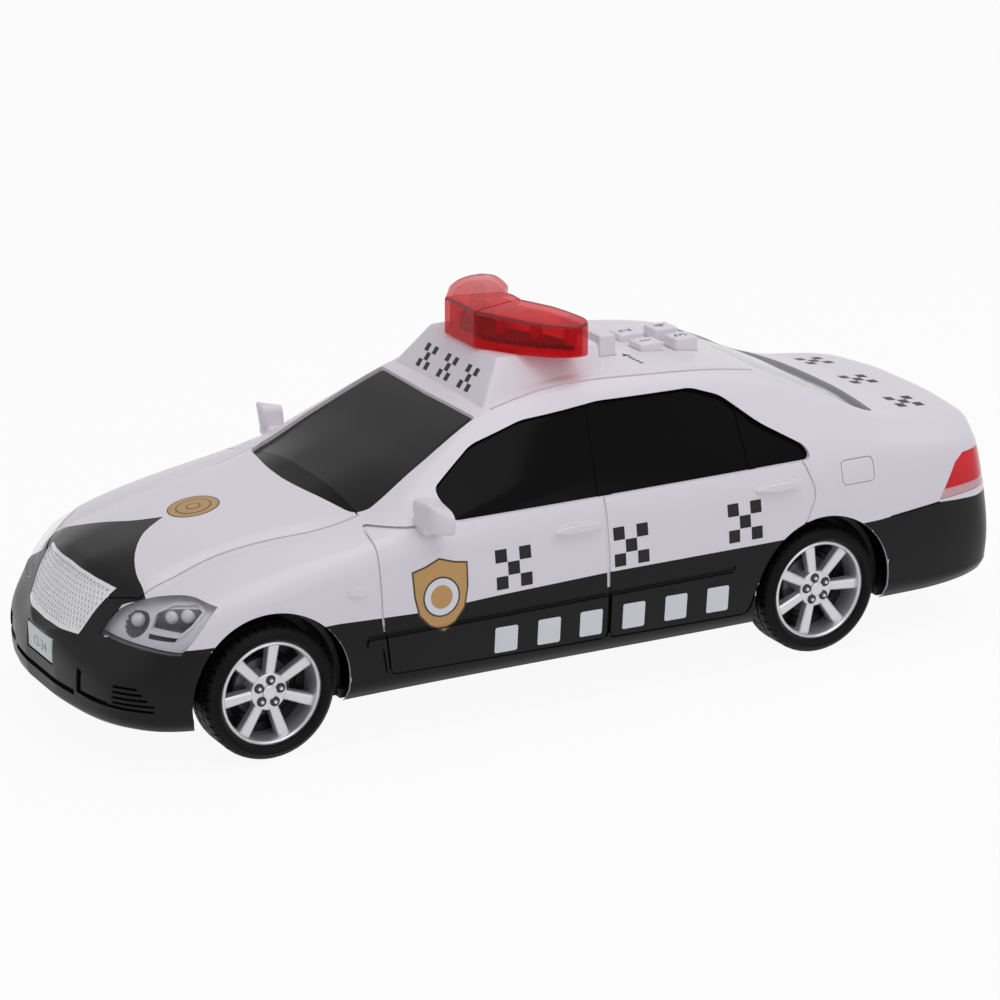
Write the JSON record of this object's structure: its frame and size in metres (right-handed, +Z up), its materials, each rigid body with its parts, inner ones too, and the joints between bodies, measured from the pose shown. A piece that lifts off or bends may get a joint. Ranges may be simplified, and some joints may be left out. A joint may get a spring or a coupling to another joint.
{
  "type": "toy police car",
  "caption": "Four-door toy police sedan with free-rolling axles, a red clear roof light bar on a pedestal, a wide siren push key and numbered sound keys on the roof.",
  "frame": {"origin": "centre of the bounding box at the ground under the tyres", "axes": "+X to the nose, +Y to the car's left side, +Z up"},
  "size_m": [0.235, 0.0976, 0.0852],
  "materials": {
    "body_plastic": "white moulded plastic, black satin paint on the lower half",
    "chassis_plastic": "black moulded plastic",
    "smoked_plastic": "smoked clear plastic, dark inside",
    "plated_plastic": "bright plated plastic",
    "plate_plastic": "pale satin plastic",
    "clear_plastic": "clear polished plastic",
    "red_plastic": "red polished plastic",
    "red_clear_plastic": "clear red polished plastic",
    "circuit_board": "bare circuit board",
    "led_epoxy": "clear cast epoxy",
    "key_plastic": "white moulded plastic",
    "black_plastic": "black moulded plastic",
    "speaker_frame": "dark pressed steel",
    "cell_case": "printed steel can",
    "contact_steel": "plated spring steel",
    "screw_steel": "zinc plated",
    "axle_steel": "bright drawn wire",
    "tyre_rubber": "matt black soft plastic",
    "rim_plastic": "silver satin plating on plastic"
  },
  "bodies": {
    "car": {"body_shell": "body_plastic", "chassis": "chassis_plastic", "window_insert": "smoked_plastic", "grille": "plated_plastic", "front_plate": "plate_plastic", "headlight_lens_left": "clear_plastic", "headlight_lens_right": "clear_plastic", "headlight_reflector_left": "plated_plastic", "headlight_reflector_right": "plated_plastic", "tail_lamp_left": "red_plastic", "tail_lamp_right": "red_plastic", "mirror_left": "body_plastic", "mirror_right": "body_plastic", "lightbar_pedestal": "body_plastic", "lightbar_tray": "red_plastic", "lightbar_lens": "red_clear_plastic", "lightbar_board": "circuit_board", "lightbar_leds": "led_epoxy", "lightbar_screws": "screw_steel", "switch_board": "circuit_board", "tact_switches": "black_plastic", "switch_board_screws": "screw_steel", "main_board": "circuit_board", "board_chips": "black_plastic", "main_board_screws": "screw_steel", "speaker": "speaker_frame", "battery_cells": "cell_case", "battery_contacts": "contact_steel", "battery_door": "chassis_plastic", "battery_door_screw": "screw_steel", "body_screws": "screw_steel"},
    "front_wheels": {"front_axle": "axle_steel", "tyre_front_left": "tyre_rubber", "tyre_front_right": "tyre_rubber", "rim_front_left": "rim_plastic", "rim_front_right": "rim_plastic"},
    "rear_wheels": {"rear_axle": "axle_steel", "tyre_rear_left": "tyre_rubber", "tyre_rear_right": "tyre_rubber", "rim_rear_left": "rim_plastic", "rim_rear_right": "rim_plastic"},
    "siren_key_body": {"siren_key": "key_plastic"},
    "key_1_body": {"key_1": "key_plastic"},
    "key_2_body": {"key_2": "key_plastic"},
    "key_3_body": {"key_3": "key_plastic"},
    "key_4_body": {"key_4": "key_plastic"}
  },
  "joints": [
    {"name": "front_axle_roll", "type": "hinge", "parent": "car", "child": "front_wheels", "pos_m": [0.08, 0, 0.0155], "axis": [0, 1, 0], "continuous": true},
    {"name": "rear_axle_roll", "type": "hinge", "parent": "car", "child": "rear_wheels", "pos_m": [-0.062, 0, 0.0155], "axis": [0, 1, 0], "continuous": true},
    {"name": "siren_key_press", "type": "slide", "parent": "car", "child": "siren_key_body", "axis": [0, 0, -1], "range_m": [0, 0.0012], "stiffness_N_per_m": 900, "springref_m": -0.0006},
    {"name": "key_1_press", "type": "slide", "parent": "car", "child": "key_1_body", "axis": [0, 0, -1], "range_m": [0, 0.0012], "stiffness_N_per_m": 900, "springref_m": -0.0006},
    {"name": "key_2_press", "type": "slide", "parent": "car", "child": "key_2_body", "axis": [0, 0, -1], "range_m": [0, 0.0012], "stiffness_N_per_m": 900, "springref_m": -0.0006},
    {"name": "key_3_press", "type": "slide", "parent": "car", "child": "key_3_body", "axis": [0, 0, -1], "range_m": [0, 0.0012], "stiffness_N_per_m": 900, "springref_m": -0.0006},
    {"name": "key_4_press", "type": "slide", "parent": "car", "child": "key_4_body", "axis": [0, 0, -1], "range_m": [0, 0.0012], "stiffness_N_per_m": 900, "springref_m": -0.0006}
  ]
}
